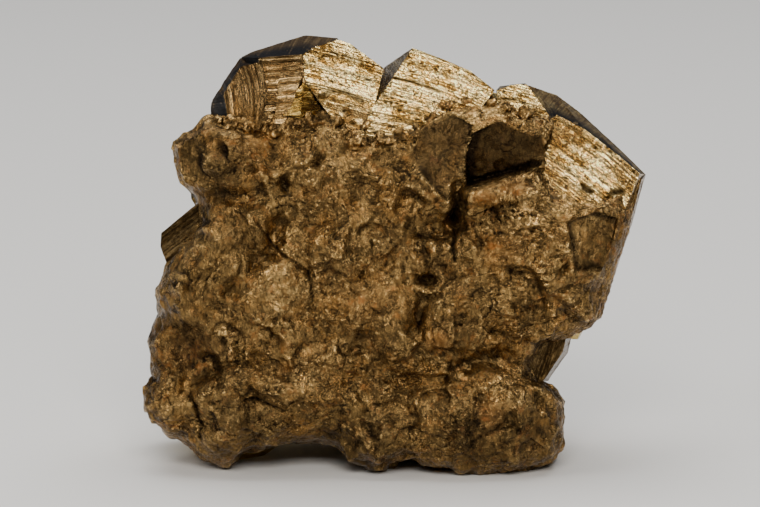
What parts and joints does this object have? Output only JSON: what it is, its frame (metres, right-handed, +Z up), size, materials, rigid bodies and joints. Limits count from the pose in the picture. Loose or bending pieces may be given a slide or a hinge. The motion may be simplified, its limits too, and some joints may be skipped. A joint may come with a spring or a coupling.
{
  "type": "pyrite crystal cluster",
  "caption": "Hand-sized natural pyrite specimen: a massive broken near face with a crust of intergrown striated crystals over its back, top and side; stands upright.",
  "frame": {"origin": "under the middle of the bounding box, on the surface that the specimen stands on", "axes": "+X to the right and +Z up as the broken face is looked at, +Y from the broken face into the piece"},
  "size_m": [0.1026, 0.0584, 0.0878],
  "materials": {
    "pyrite": "tarnished bronze-brown fracture with brighter pale brass crystal faces"
  },
  "bodies": {
    "root": {"pyrite_cluster": "pyrite"}
  },
  "joints": []
}
